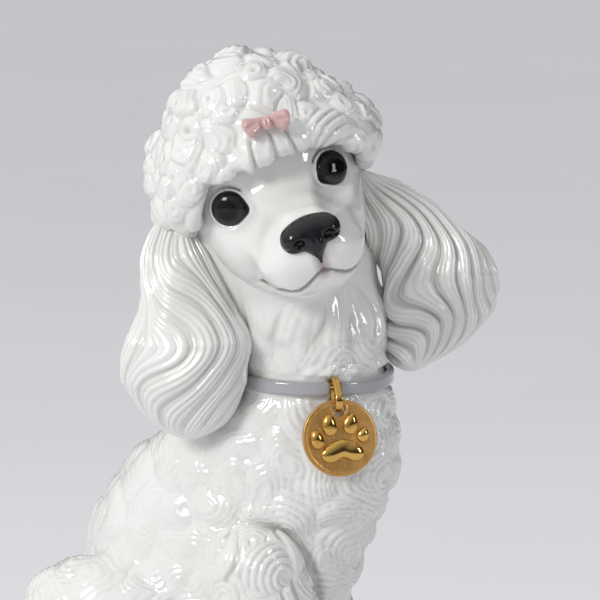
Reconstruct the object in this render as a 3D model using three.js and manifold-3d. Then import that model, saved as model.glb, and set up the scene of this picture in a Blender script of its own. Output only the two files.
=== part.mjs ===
// A seated poodle figurine in glazed porcelain, 320 mm tall, cast in separate hollow and solid pieces, with
// a gilded tag that swings on its bail from the collar. Millimetres, +Z up, the dog faces -Y and its left
// side is +X. The origin is on the surface that it stands on. The head is turned to the dog's right.
import * as THREE from "three";
import { ConvexGeometry } from "three/addons/geometries/ConvexGeometry.js";
import { mergeVertices } from "three/addons/utils/BufferGeometryUtils.js";
import Module from "manifold-3d";

const wasm = await Module();
wasm.setup();

// ---------------------------------------------------------------- driving dimensions
const GAP = 0.3; // between two pieces that are luted together
const WALL = 6; // thickness of the cast shells
const DEGREE = Math.PI / 180;
const ROUND = 14; // segments round an ellipsoid
const FAR = 300; // beyond the figurine on every side

const NECK_HALF_WIDTH = 29.5; // where the collar sits

// The torso and neck as rings, from the base up: height, centre x and y, half width, half depth.
const TORSO = [
  [0, 0, 19, 42, 43],
  [8, 0, 20, 48, 49],
  [30, 0, 20, 50, 52],
  [60, 0, 18, 50, 54],
  [90, 0, 10, 47, 58],
  [110, 0, 3, 44, 60],
  [126, 0, -2, 41, 61],
  [139, 0, -10, 39, 60],
  [153, 0, -18, 37, 57],
  [164, 0, -26, 35, 48],
  [175, 0, -33, 33, 40],
  [187, 0, -40, NECK_HALF_WIDTH, NECK_HALF_WIDTH],
  [205, -3, -34, 29, 32],
  [222, -6, -28, 31, 36],
  [236, -9, -24, 32, 37],
];
const TORSO_SIDES = 24;
const VENT = { at: [18, 34], radius: 10 }; // firing vent in the base

// The head's own frame has its origin between the eyes, and its shapes are given in that frame.
const HEAD = { at: [-27.2, -39.8, 264.6], yaw: -50.2, pitch: -2.1, roll: -20.6 };
const SKULL = { at: [0, 18, 8], radii: [33, 34, 32] };
const CHEEK = { out: 20, y: 5, z: -16, radii: [14, 22, 18] };
const MUZZLE = [[[0, -5, -12], 19], [[0, -36, -19], 14.5]]; // balls from the face to the tip
const JAW = [[[0, 10, -30], 15], [[0, -30, -33], 8.5]];
const EYE = { out: 21.5, radius: 8.4 };
const NOSE = { at: [0, -45, -18], radii: [11.5, 7.5, 8.6], lean: 14 };
const TOPKNOT = { at: [0, 16, 17], radii: [49, 43, 39] };
const TEMPLE = { out: 36, y: 10, z: 2, radii: [14, 22, 20] };
const FOREHEAD = { out: 12, y: -34, z: -8, radius: 19 }; // bare below the hairline
const BOW = { at: [0, -26, 30], loopOut: 5.7, loop: [4.5, 2.6, 4], knot: [2.4, 2.8, 2.6], knotForward: 1 };
const NAPE = { from: [-9, -24, 240], to: [-12, -20, 262], radius: 33 }; // in the figurine's frame

const NECK = { at: [0, -40, 188], yaw: -44, tilt: 3 }; // the collar's frame, tag side forward
const COLLAR = { inner: 29.8, outer: 32.6, height: 5.2 };
const BAIL = { inner: 3.4, strap: 1.5, width: 3, length: 5, lean: 40 };
const TAG = { radius: 15, thickness: 1.8, hole: 2.6, rim: 1.5, lean: 11 };
const PAD_RISE = 1.5; // height of the paw relief on the tag

const ORIGIN = [0, 0, 0];
const FORELEG_RADII = { top: 21, shin: 19, ankle: 18 };
const FORELEG = {
  right: { top: [-26, -27, 111], shin: [-27, -42, 70], ankle: [-27, -47, 26], paw: [-27, -58, 0] },
  left: { top: [26, -14, 107], shin: [26, -26, 70], ankle: [25, -31, 26], paw: [25, -42, 0] },
};
const TOES = [-9, -3, 3, 9]; // across the paw, from its middle
const TOE_RADII = [4.4, 9, 8];
const THIGH = { out: 44, y: 34, z: 64, radii: [25, 43, 49], lean: -12 };
const KNEE = { out: 50, y: 4, z: 40, radii: [19, 22, 26], lean: -20 };
const HINDPAW = { out: 54, heel: [12, 9], heelRadius: 13, palm: [-22, 4], palmRadius: 12, toes: -34 };
const TAIL = { root: [5, 62, 21], bend: [20, 80, 13], tip: [31, 88, 14], radius: 8.5 };
const POMPOM = { at: [43, 93, 17], radii: [18, 17, 17.5] };

// ---------------------------------------------------------------- materials
const finish = (color, roughness, metalness = 0) =>
  new THREE.MeshStandardMaterial({ color, roughness, metalness });
const GLAZE = finish(0xeceae4, 0.12);
const IRIS_BLACK = finish(0x141416, 0.06);
const NOSE_BLACK = finish(0x26272b, 0.15);
const ROSE = finish(0xc99a9a, 0.2);
const BAND_GREY = finish(0x969aa0, 0.18);
const GILT_SATIN = finish(0xa8792f, 0.38, 1);
const GILT_BRIGHT = finish(0xc99a3f, 0.12, 1);

// ---------------------------------------------------------------- solids
const vec = (point) => new THREE.Vector3(...point);

// A closed geometry as a solid that can be joined and cut.
function solidOf(geometry) {
  const bare = geometry.index ? geometry.toNonIndexed() : geometry;
  const points = new THREE.BufferGeometry().setAttribute("position", bare.getAttribute("position"));
  const merged = mergeVertices(points, 1e-4);
  const vertProperties = merged.attributes.position.array;
  const triVerts = new Uint32Array(merged.index.array);
  return new wasm.Manifold(new wasm.Mesh({ numProp: 3, vertProperties, triVerts }));
}

const join = (solids) => solids.reduce((whole, solid) => whole.add(solid));
const cut = (solid, ...others) => others.reduce((left, other) => left.subtract(other), solid);
const moved = (solid, matrix) => solid.transform(matrix.elements);
const largest = (solid) => solid.decompose().sort((a, b) => b.volume() - a.volume())[0];

// An ellipsoid, turned about its centre by angles in degrees, each radius grown by the margin.
function ellipsoid(centre, radii, { grow = 0, turn = ORIGIN, round = ROUND } = {}) {
  const geometry = new THREE.SphereGeometry(1, round, Math.round(round * 0.6));
  geometry.rotateX(Math.PI / 2);
  geometry.scale(...radii.map((radius) => radius + grow));
  const [x, y, z] = turn.map((angle) => angle * DEGREE);
  geometry.applyMatrix4(new THREE.Matrix4().makeRotationFromEuler(new THREE.Euler(x, y, z)));
  geometry.translate(...centre);
  return solidOf(geometry);
}

// The hull of a row of balls, each given by its centre and radius.
function hull(balls, { grow = 0, round = 12 } = {}) {
  const points = balls.flatMap(([centre, radius]) => {
    const ball = new THREE.SphereGeometry(radius + grow, round, Math.round(round * 0.6));
    ball.rotateX(Math.PI / 2);
    ball.translate(...centre);
    const position = mergeVertices(ball.deleteAttribute("normal").deleteAttribute("uv")).attributes.position;
    return Array.from({ length: position.count }, (_, i) => vec([0, 0, 0]).fromBufferAttribute(position, i));
  });
  return solidOf(new ConvexGeometry(points));
}

// Balls joined two by two, so that the limb bends at each middle ball.
const limb = (balls, options) => join(balls.slice(1).map((ball, i) => hull([balls[i], ball], options)));

// A block between two corners.
function block(low, high) {
  const size = vec(high).sub(vec(low));
  const geometry = new THREE.BoxGeometry(size.x, size.y, size.z);
  const middle = vec(low).add(vec(high)).multiplyScalar(0.5);
  return solidOf(geometry.translate(middle.x, middle.y, middle.z));
}

// The torso's rings as one closed loft, each ring grown by the margin.
function torso(grow = 0, topRise = 0) {
  const last = TORSO.length - 1;
  const geometry = new THREE.CylinderGeometry(1, 1, last, TORSO_SIDES, last);
  geometry.rotateX(Math.PI / 2);
  const position = geometry.attributes.position;
  for (let i = 0; i < position.count; i++) {
    const ring = Math.round(position.getZ(i) + last / 2);
    const [height, x, y, halfWidth, halfDepth] = TORSO[ring];
    position.setXYZ(
      i,
      x + position.getX(i) * (halfWidth + grow),
      y + position.getY(i) * (halfDepth + grow),
      height + (ring === last ? topRise : 0),
    );
  }
  return solidOf(geometry);
}

// A long flat lobe that hangs along a curve, with its half width and half depth at even steps. Its two ends
// are rounded over the first and last quarter of its length.
function lobe(path, across, halfWidths, halfDepths, grow = 0) {
  const spine = new THREE.CatmullRomCurve3(path.map(vec));
  const side = vec(across).normalize();
  const geometry = new THREE.SphereGeometry(1, 16, 14).rotateX(Math.PI / 2);
  const position = geometry.attributes.position;
  const fullness = (z) => {
    const end = Math.max(0, Math.abs(z) - 0.5) / 0.5;
    return Math.sqrt((1 - end * end) / Math.max(1 - z * z, 1e-6));
  };
  const at = (values, t) => {
    const place = t * (values.length - 1);
    const step = Math.min(Math.floor(place), values.length - 2);
    return THREE.MathUtils.lerp(values[step], values[step + 1], place - step) + grow;
  };
  for (let i = 0; i < position.count; i++) {
    const t = THREE.MathUtils.clamp((1 - position.getZ(i)) / 2, 0, 1);
    const along = spine.getTangent(t);
    const deep = new THREE.Vector3().crossVectors(side, along).normalize();
    const point = spine.getPoint(t);
    const full = fullness(position.getZ(i));
    point.addScaledVector(side, position.getX(i) * full * at(halfWidths, t));
    point.addScaledVector(deep, position.getY(i) * full * at(halfDepths, t));
    point.addScaledVector(along, t < 0.5 ? -grow : grow);
    position.setXYZ(i, point.x, point.y, point.z);
  }
  const solid = solidOf(geometry);
  return solid.volume() > 0 ? solid : solidOf(flipped(geometry));
}

// The same surface facing the other way.
function flipped(geometry) {
  const loose = geometry.toNonIndexed();
  const position = loose.attributes.position;
  const swap = new THREE.Vector3();
  const other = new THREE.Vector3();
  for (let i = 0; i < position.count; i += 3) {
    swap.fromBufferAttribute(position, i);
    other.fromBufferAttribute(position, i + 1);
    position.setXYZ(i, other.x, other.y, other.z);
    position.setXYZ(i + 1, swap.x, swap.y, swap.z);
  }
  return loose;
}

// An outline extruded along Z by a depth, centred on its own plane.
function plate(shape, depth, curveSegments = 16) {
  const geometry = new THREE.ExtrudeGeometry(shape, { depth, bevelEnabled: false, curveSegments });
  return solidOf(geometry.translate(0, 0, -depth / 2));
}

// ---------------------------------------------------------------- frames
const figurine = new THREE.Group();

// A group at a point, turned about Z by yaw, then about X by pitch, then about Y by roll, in degrees.
function frame(parent, at, { yaw = 0, pitch = 0, roll = 0 } = {}) {
  const group = new THREE.Group();
  group.position.set(...at);
  group.rotation.set(pitch * DEGREE, roll * DEGREE, yaw * DEGREE, "ZXY");
  parent.add(group);
  figurine.updateMatrixWorld(true);
  return group;
}

const headFrame = frame(figurine, HEAD.at, HEAD);
const neckFrame = frame(figurine, NECK.at, { yaw: NECK.yaw, pitch: NECK.tilt });
const inWorld = (group, solid) => moved(solid, group.matrixWorld);

// Adds a solid, given in the part's frame, as a named mesh in a group's own frame.
function addPiece(group, name, solid, material) {
  const { vertProperties, triVerts } = moved(solid, group.matrixWorld.clone().invert()).getMesh();
  const geometry = new THREE.BufferGeometry();
  geometry.setAttribute("position", new THREE.BufferAttribute(new Float32Array(vertProperties), 3));
  geometry.setIndex(new THREE.BufferAttribute(new Uint32Array(triVerts), 1));
  geometry.computeVertexNormals();
  const mesh = new THREE.Mesh(geometry, material);
  mesh.name = name;
  group.add(mesh);
}

const BELOW_GROUND = block([-FAR, -FAR, -FAR], [FAR, FAR, 0]);
const SIDES = { right: -1, left: 1 };

// ---------------------------------------------------------------- the tag, its bail and the collar
const collarRadius = (COLLAR.inner + COLLAR.outer) / 2;
const bailFrame = frame(neckFrame, [0, -collarRadius, 0], { pitch: -BAIL.lean });
const bailReach = BAIL.length + BAIL.inner + BAIL.strap / 2;
const tagFrame = frame(bailFrame, [0, 0, -bailReach], { pitch: BAIL.lean - NECK.tilt - TAG.lean });

// A ring with two round ends in the plane across the collar: the bail's outline, or its clearance.
function stadium(radius) {
  const shape = new THREE.Shape();
  shape.absarc(0, 0, radius, 0, Math.PI);
  shape.absarc(0, -BAIL.length, radius, Math.PI, 2 * Math.PI);
  return shape;
}

function bailSolid() {
  const outline = stadium(BAIL.inner + BAIL.strap);
  outline.holes.push(stadium(BAIL.inner));
  return inWorld(bailFrame, acrossCollar(plate(outline, BAIL.width)));
}

// The slot behind the collar band in which the bail turns.
function bailPocket() {
  const clearance = 0.5;
  const outline = stadium(BAIL.inner + BAIL.strap + clearance);
  return inWorld(bailFrame, acrossCollar(plate(outline, BAIL.width + 2 * clearance)));
}

// Turns a plate drawn in XY so that its X runs forward, its Y up and its thickness along the collar.
function acrossCollar(solid) {
  const turn = new THREE.Matrix4().makeBasis(vec([0, -1, 0]), vec([0, 0, 1]), vec([-1, 0, 0]));
  return moved(solid, turn);
}

// The band: the neck's ring grown to the band's outer face and cut to its height.
function collarSolid(bodyRings) {
  const outer = torso(COLLAR.outer - NECK_HALF_WIDTH);
  const aroundNeck = 2 * COLLAR.outer;
  const low = [-aroundNeck, -aroundNeck, -COLLAR.height / 2];
  const slab = inWorld(neckFrame, block(low, [aroundNeck, aroundNeck, COLLAR.height / 2]));
  return cut(outer.intersect(slab), bodyRings);
}

const tagCentre = [0, 0, -(TAG.radius - TAG.rim - TAG.hole)];
const facingTag = new THREE.Matrix4().makeBasis(vec([1, 0, 0]), vec([0, 0, 1]), vec([0, -1, 0]));

function tagDisc() {
  const outline = new THREE.Shape();
  outline.absarc(0, tagCentre[2], TAG.radius, 0, 2 * Math.PI);
  const hole = new THREE.Path();
  hole.absarc(0, 0, TAG.hole, 0, 2 * Math.PI);
  outline.holes.push(hole);
  return inWorld(tagFrame, moved(plate(outline, TAG.thickness, 20), facingTag));
}

// The paw relief: one broad pad and four toes, each a dome standing on the disc's face.
const PAW_PRINT = {
  tag_pad: [[0.8, -5.2], [8.6, 4.4], 0],
  tag_toe_1: [[-9.8, -0.4], [2.6, 3.8], 14],
  tag_toe_2: [[-4, 5.4], [2.8, 4.3], 6],
  tag_toe_3: [[4.8, 5.6], [2.8, 4.3], -8],
  tag_toe_4: [[9.8, 0.8], [2.3, 2.8], -20],
};

function printDome([[x, z], [halfWidth, halfHeight], turn]) {
  const face = -TAG.thickness / 2;
  const centre = [x, face, tagCentre[2] + z];
  const dome = ellipsoid(centre, [halfWidth, PAD_RISE, halfHeight], { turn: [0, turn, 0], round: 12 });
  const behindFace = block([-FAR, face - GAP, -FAR], [FAR, FAR, FAR]);
  return inWorld(tagFrame, cut(dome, behindFace));
}

// ---------------------------------------------------------------- the head
const inHead = (solid) => inWorld(headFrame, solid);
const nape = (grow = 0) =>
  hull([[NAPE.from, NAPE.radius], [NAPE.to, NAPE.radius]], { grow, round: 16 });

const skull = (grow = 0) => ellipsoid(SKULL.at, SKULL.radii, { grow });

// An ellipsoid given by how far out from the middle it lies, on the right and on the left.
const onBothSides = ({ out, y, z, radii }, grow) =>
  Object.values(SIDES).map((side) => ellipsoid([side * out, y, z], radii, { grow }));

// The head's outside: skull, cheeks, muzzle and jaw on the nape.
function headOutside(grow = 0) {
  const face = [skull(grow), hull(MUZZLE, { grow }), hull(JAW, { grow }), ...onBothSides(CHEEK, grow)];
  return join([inHead(join(face)), nape(grow)]);
}

const eyeBall = (side, grow = 0) =>
  inHead(ellipsoid([side * EYE.out, 0, 0], [EYE.radius, EYE.radius, EYE.radius], { grow }));
const nosePad = (grow = 0) => inHead(ellipsoid(NOSE.at, NOSE.radii, { grow, turn: [NOSE.lean, 0, 0] }));

function topknotOutside(grow = 0) {
  const crown = ellipsoid(TOPKNOT.at, TOPKNOT.radii, { grow, round: 18 });
  return inHead(join([crown, ...onBothSides(TEMPLE, grow)]));
}

// The forehead below the hairline stays bare in front, between and above the eyes.
const bareForehead = () =>
  inHead(hull(Object.values(SIDES).map((side) => [
    [side * FOREHEAD.out, FOREHEAD.y, FOREHEAD.z],
    FOREHEAD.radius,
  ])));

const EARS = {
  right: {
    path: [[-40, 2, 256], [-41, -5, 232], [-43, -9, 212], [-44, -8, 193], [-43, -9, 165]],
    across: [0.5, -0.866, 0],
    halfWidths: [9, 14, 19, 24, 26, 22],
    halfDepths: [8, 13, 16, 18, 18, 15],
  },
  left: {
    path: [[6, -58, 270], [19, -70, 250], [27, -80, 231], [28, -84, 212], [18, -77, 189]],
    across: [0.56, -0.8, 0.2],
    halfWidths: [8, 15, 20, 23, 22, 17],
    halfDepths: [8, 12, 15, 17, 16, 12],
  },
};
const ear = ({ path, across, halfWidths, halfDepths }, grow = 0) =>
  lobe(path, across, halfWidths, halfDepths, grow);

// ---------------------------------------------------------------- legs and tail
const foreleg = (points, grow = 0) =>
  limb(Object.entries(FORELEG_RADII).map(([place, radius]) => [points[place], radius]), { grow });

// Four toes side by side, the middle two further forward.
const toes = (x, y, grow) =>
  TOES.map((out) => ellipsoid([x + out, y + Math.abs(out) / 3, 6], TOE_RADII, { grow, round: 12 }));

function forepaw({ paw: [x, y, z] }, grow = 0) {
  return join([ellipsoid([x, y, z + 5], [14, 17, 11], { grow, round: 16 }), ...toes(x, y - 12, grow)]);
}

function haunch(side, grow = 0) {
  const muscles = [THIGH, KNEE].map(({ out, y, z, radii, lean }) =>
    ellipsoid([side * out, y, z], radii, { grow, turn: [lean, 0, 0] }));
  return join(muscles);
}

function hindpaw(side, grow = 0) {
  const x = side * HINDPAW.out;
  const heel = [[x, ...HINDPAW.heel], HINDPAW.heelRadius];
  const palm = [[x, ...HINDPAW.palm], HINDPAW.palmRadius];
  const foot = hull([heel, palm], { grow });
  return join([foot, ...toes(x, HINDPAW.toes, grow)]);
}

const tailTube = (grow = 0) =>
  limb([[TAIL.root, TAIL.radius], [TAIL.bend, TAIL.radius], [TAIL.tip, TAIL.radius]], { grow, round: 12 });
const pompom = (grow = 0) => ellipsoid(POMPOM.at, POMPOM.radii, { grow });

// ---------------------------------------------------------------- assembly
const bodyOutside = torso();
const bodyGrown = torso(GAP, GAP);
const head = headOutside();
const headGrown = headOutside(GAP);
const topknotGrown = topknotOutside(GAP);

function addBody() {
  const hollow = cut(torso(-WALL, 1), block([-FAR, -FAR, -FAR], [FAR, FAR, WALL]));
  const vent = hull([[[...VENT.at, -VENT.radius * 2], VENT.radius], [[...VENT.at, WALL * 2], VENT.radius]]);
  addPiece(figurine, "body_shell", cut(bodyOutside, hollow, vent, bailPocket()), GLAZE);
}

function addHead() {
  const hollow = join([inHead(skull(-WALL)), nape(-WALL)]);
  const sockets = Object.values(SIDES).map((side) => eyeBall(side, GAP));
  const shell = cut(head, hollow, bodyGrown, nosePad(GAP), ...sockets);
  addPiece(headFrame, "head_shell", largest(shell), GLAZE);
  const knot = cut(topknotOutside(), headGrown, bodyGrown, bareForehead(), ...sockets);
  addPiece(headFrame, "topknot", largest(knot), GLAZE);
  addPiece(headFrame, "nose", nosePad(), NOSE_BLACK);
  for (const [name, side] of Object.entries(SIDES)) {
    addPiece(headFrame, "eye_" + name, eyeBall(side), IRIS_BLACK);
    const hanging = cut(ear(EARS[name]), headGrown, topknotGrown, bodyGrown);
    addPiece(figurine, "ear_" + name, largest(hanging), GLAZE);
  }
}

function addBow() {
  const middle = [BOW.at[0], BOW.at[1] - BOW.knotForward, BOW.at[2]];
  const knot = (grow) => inHead(ellipsoid(middle, BOW.knot, { grow, round: 12 }));
  for (const [name, side] of Object.entries(SIDES)) {
    const centre = [BOW.at[0] + side * BOW.loopOut, BOW.at[1], BOW.at[2]];
    const loop = inHead(ellipsoid(centre, BOW.loop, { round: 14 }));
    addPiece(headFrame, "bow_loop_" + name, cut(loop, knot(GAP), topknotGrown), ROSE);
  }
  addPiece(headFrame, "bow_knot", cut(knot(0), topknotGrown), ROSE);
}

function addCollarAndTag() {
  const ears = Object.values(EARS).map((shape) => ear(shape, GAP));
  addPiece(neckFrame, "collar", cut(collarSolid(bodyGrown), ...ears), BAND_GREY);
  addPiece(bailFrame, "bail", bailSolid(), GILT_BRIGHT);
  addPiece(tagFrame, "tag_disc", tagDisc(), GILT_SATIN);
  for (const [name, dome] of Object.entries(PAW_PRINT)) {
    addPiece(tagFrame, name, printDome(dome), GILT_BRIGHT);
  }
}

function addLegs() {
  for (const [name, side] of Object.entries(SIDES)) {
    const leg = FORELEG[name];
    const foot = forepaw(leg, GAP);
    addPiece(figurine, "foreleg_" + name, cut(foreleg(leg), bodyGrown, foot, BELOW_GROUND), GLAZE);
    addPiece(figurine, "forepaw_" + name, cut(forepaw(leg), bodyGrown, BELOW_GROUND), GLAZE);
    const rest = cut(haunch(side), bodyGrown, hindpaw(side, GAP), foreleg(leg, GAP), BELOW_GROUND);
    addPiece(figurine, "haunch_" + name, rest, GLAZE);
    const hindFoot = cut(hindpaw(side), bodyGrown, foreleg(leg, GAP), BELOW_GROUND);
    addPiece(figurine, "hindpaw_" + name, hindFoot, GLAZE);
  }
}

function addTail() {
  addPiece(figurine, "tail", cut(tailTube(), bodyGrown, pompom(GAP), BELOW_GROUND), GLAZE);
  addPiece(figurine, "tail_pompom", cut(pompom(), BELOW_GROUND), GLAZE);
}

addBody();
addHead();
addBow();
addCollarAndTag();
addLegs();
addTail();

export default figurine;
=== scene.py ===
"""The looks of a seated porcelain poodle: sculpted glaze-white fur, painted eyes, nose, bow and collar, and
a gilded tag that swings on its bail. Shapes are worked out in millimetres in the part's own frame and scaled
to metres."""

import math

import bpy
import numpy as np
import openvdb
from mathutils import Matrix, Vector


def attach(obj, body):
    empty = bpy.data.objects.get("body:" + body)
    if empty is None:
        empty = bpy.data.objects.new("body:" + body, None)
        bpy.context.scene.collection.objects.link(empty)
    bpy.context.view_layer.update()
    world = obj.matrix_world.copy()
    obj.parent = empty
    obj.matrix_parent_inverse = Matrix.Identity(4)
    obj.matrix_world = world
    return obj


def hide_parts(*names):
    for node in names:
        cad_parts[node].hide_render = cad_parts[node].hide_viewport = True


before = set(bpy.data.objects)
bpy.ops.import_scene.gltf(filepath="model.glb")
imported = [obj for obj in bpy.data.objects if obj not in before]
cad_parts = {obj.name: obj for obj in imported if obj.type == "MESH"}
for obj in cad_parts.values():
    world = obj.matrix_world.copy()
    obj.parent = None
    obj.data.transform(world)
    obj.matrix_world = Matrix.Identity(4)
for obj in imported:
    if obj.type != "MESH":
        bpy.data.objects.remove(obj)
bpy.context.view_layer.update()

MM = 0.001
COARSE = 1.0
GOLDEN_ANGLE = 2.39996  # in radians

# ---------------------------------------------------------------- frames of reference


def turned(yaw=0.0, pitch=0.0, roll=0.0):
    """The basis turned about Z by yaw, then about X by pitch, then about Y by roll, in degrees."""
    angles = [math.radians(a) for a in (yaw, pitch, roll)]
    (cz, sz), (cx, sx), (cy, sy) = ((math.cos(a), math.sin(a)) for a in angles)
    about_z = np.array([[cz, -sz, 0], [sz, cz, 0], [0, 0, 1]])
    about_x = np.array([[1, 0, 0], [0, cx, -sx], [0, sx, cx]])
    about_y = np.array([[cy, 0, sy], [0, 1, 0], [-sy, 0, cy]])
    return about_z @ about_x @ about_y


class Place:
    """A frame of reference: its origin and its three axes as columns."""

    def __init__(self, at, basis):
        self.at = np.array(at, float)
        self.basis = basis

    def inside(self, p):
        return (p - self.at) @ self.basis

    def outside(self, p):
        return np.asarray(p, float) @ self.basis.T + self.at

    def child(self, at, basis):
        return Place(self.outside(at), self.basis @ basis)


HEAD = Place((-27.2, -39.8, 264.6), turned(-50.2, -2.1, -20.6))
NECK = Place((0, -40, 188), turned(-44, 3))
COLLAR_RADIUS = 31.2
BAIL_LEAN, TAG_LEAN, NECK_TILT = 40, 11, 3
BAIL_INNER, BAIL_STRAP, BAIL_WIDTH, BAIL_LENGTH = 3.4, 1.5, 3.0, 5.0
BAIL = NECK.child((0, -COLLAR_RADIUS, 0), turned(0, -BAIL_LEAN))
BAIL_DROP = BAIL_LENGTH + BAIL_INNER + BAIL_STRAP / 2  # from the collar band down to where the tag hangs
TAG = BAIL.child((0, 0, -BAIL_DROP), turned(0, BAIL_LEAN - NECK_TILT - TAG_LEAN))
TAG_RADIUS, TAG_THICKNESS, TAG_HOLE, TAG_MARGIN = 15.0, 1.8, 2.6, 1.5
TAG_CENTRE = (0.0, 0.0, -(TAG_RADIUS - TAG_MARGIN - TAG_HOLE))
BOW = HEAD.child((1.5, -27.6, 27.6), turned(0, -16, 7))

# ---------------------------------------------------------------- distance fields


def size(v):
    """The length of each row."""
    return np.sqrt(np.einsum("ij,ij->i", v, v))


def ellipsoid(p, centre, radii):
    """About how far each point is outside an ellipsoid, negative inside it."""
    q = (p - np.asarray(centre, float)) / np.asarray(radii, float)
    near = size(q)
    slope = size(q / np.asarray(radii, float))
    return near * (near - 1) / np.maximum(slope, 1e-6)


def taper(p, a, b, ra, rb):
    """A round-ended bar from a to b, whose radius goes from ra to rb."""
    a, b = np.asarray(a, float), np.asarray(b, float)
    way = b - a
    t = np.clip((p - a) @ way / (way @ way), 0, 1)
    return size(p - a - t[:, None] * way) - (ra + (rb - ra) * t)


def soft_min(a, b, k):
    """Two shapes joined, with a fillet about k wide."""
    h = np.clip(0.5 + 0.5 * (b - a) / k, 0, 1)
    return b + (a - b) * h - k * h * (1 - h)


def soft_max(a, b, k):
    """What two shapes have in common, with an edge rounded over about k."""
    return -soft_min(-a, -b, k)


def merge(k, *fields):
    whole = fields[0]
    for other in fields[1:]:
        whole = soft_min(whole, other, k)
    return whole


def smooth(low, high, x):
    """0 at low and 1 at high, with an easy start and end."""
    t = np.clip((x - low) / (high - low), 0, 1)
    return t * t * (3 - 2 * t)


def ripple(p, span, seed):
    """A smooth random field of about -1 to 1, with features about span across."""
    rng = np.random.default_rng(seed)
    waves = 8
    ways = rng.normal(size=(waves, 3))
    ways /= np.linalg.norm(ways, axis=1)[:, None]
    rates = rng.uniform(0.7, 1.4, waves) * 2 * math.pi / span
    return np.sin(p @ (ways * rates[:, None]).T + rng.uniform(0, 6.28, waves)).sum(1) / 2.8


def stirred(p, reach, span, seeds):
    """Points moved about a little, so that what is drawn at them isn't too regular."""
    return p + reach * np.stack([ripple(p, span, seed) for seed in seeds], 1)


def ridge(phase, sharp=0.7):
    """Rounded ridges with narrow furrows between them, 0 in a furrow and 1 on a crest."""
    return np.abs(np.cos(phase / 2)) ** sharp


# ---------------------------------------------------------------- sculpting


def sparse_grid(field, low, high, voxel):
    """The field on a grid, worked out only in blocks near the surface."""
    block = 8
    reach = 1.6 * 0.87 * block * voxel  # a block's half diagonal, with a margin for fields that run fast
    counts = np.ceil((high - low) / (voxel * block)).astype(int)
    values = np.empty(counts * block, np.float32)
    index = np.stack(np.meshgrid(*(np.arange(n) for n in counts), indexing="ij"), -1).reshape(-1, 3)
    middles = field(low + (index + 0.5) * block * voxel)
    coarse = np.where(middles > 0, 3.0, -3.0).reshape(counts) * voxel
    values[:] = np.repeat(np.repeat(np.repeat(coarse, block, 0), block, 1), block, 2)
    near = index[np.abs(middles) < reach]
    steps = np.stack(np.meshgrid(*[np.arange(block)] * 3, indexing="ij"), -1).reshape(-1, 3)
    for part in np.array_split(near, max(1, len(near) // 800)):
        cells = (part[:, None] * block + steps).reshape(-1, 3)
        values[cells[:, 0], cells[:, 1], cells[:, 2]] = field(low + cells * voxel)
    return values


def settled(field, points):
    """Points moved onto the surface of a field, and its normals there."""
    for _ in range(6):
        slope = gradient(field, points, 0.2)
        points = points - slope * (field(points) / np.maximum((slope**2).sum(1), 0.2))[:, None]
    slope = gradient(field, points, 0.2)
    return points, slope / size(slope)[:, None]


def gradient(field, p, step):
    """A field's slope, from its values a step to either side."""
    slope = np.empty_like(p)
    for axis in range(3):
        shift = np.zeros(3)
        shift[axis] = step
        slope[:, axis] = (field(p + shift) - field(p - shift)) / (2 * step)
    return slope


def surface(field, low, high, voxel):
    """The zero surface of a field as points, outward normals and quads."""
    low, high = np.asarray(low, float), np.asarray(high, float)
    grid = openvdb.FloatGrid(3 * voxel)
    grid.copyFromArray(sparse_grid(field, low, high, voxel))
    points, quads = grid.convertToQuads(0.0)
    points = low + np.asarray(points, float) * voxel
    for _ in range(2):
        slope = gradient(field, points, 0.2 * voxel)
        points -= slope * (field(points) / np.maximum((slope**2).sum(1), 0.2))[:, None]
    slope = gradient(field, points, 0.3 * voxel)
    normals = slope / np.maximum(size(slope), 1e-6)[:, None]
    quads = np.asarray(quads, np.int64)
    corners = points[quads]
    facing = np.cross(corners[:, 2] - corners[:, 0], corners[:, 3] - corners[:, 1])
    if (facing * normals[quads[:, 0]]).sum() < 0:
        quads = quads[:, ::-1]
    return points, normals, quads


def mesh_piece(name, points, marks, *face_sets):
    """A smooth-shaded object from points in millimetres, with named values at its points. Each face set is
    an array of faces that have the same number of corners."""
    mesh = bpy.data.meshes.new(name)
    mesh.vertices.add(len(points))
    mesh.vertices.foreach_set("co", (points * MM).astype(np.float32).ravel())
    corners = np.concatenate([faces.ravel() for faces in face_sets]).astype(np.int32)
    counts = np.concatenate([np.full(len(faces), faces.shape[1]) for faces in face_sets])
    mesh.loops.add(len(corners))
    mesh.loops.foreach_set("vertex_index", corners)
    mesh.polygons.add(len(counts))
    mesh.polygons.foreach_set("loop_start", (np.cumsum(counts) - counts).astype(np.int32))
    mesh.update(calc_edges=True)
    mesh.validate()
    mesh.shade_smooth()
    for mark, values in marks.items():
        mesh.attributes.new(mark, "FLOAT", "POINT").data.foreach_set("value", values.astype(np.float32))
    piece = bpy.data.objects.new(name, mesh)
    bpy.context.scene.collection.objects.link(piece)
    return piece


def sculpt(name, field, low, high, voxel, relief=None):
    """A closed piece: the field's surface, raised along its normals by the relief, whose second value, 0 to
    1, says how deep in a furrow each point lies. Nothing reaches below the ground."""
    points, normals, quads = surface(field, low, high, voxel * COARSE)
    marks = {}
    if relief:
        height, marks["hollow"] = relief(points)
        # The furrow depth is kept on the mesh so the glaze can paint shade into the furrows.
        points = points + normals * height[:, None]
    points[:, 2] = np.maximum(points[:, 2], 0)
    return mesh_piece(name, points, marks, quads)


def finish(piece, body, material, node):
    """Gives a piece its material, its body and the node it stands for."""
    piece.data.materials.clear()
    piece.data.materials.append(material)
    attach(piece, body)
    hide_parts(node)


# ---------------------------------------------------------------- curls


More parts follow.
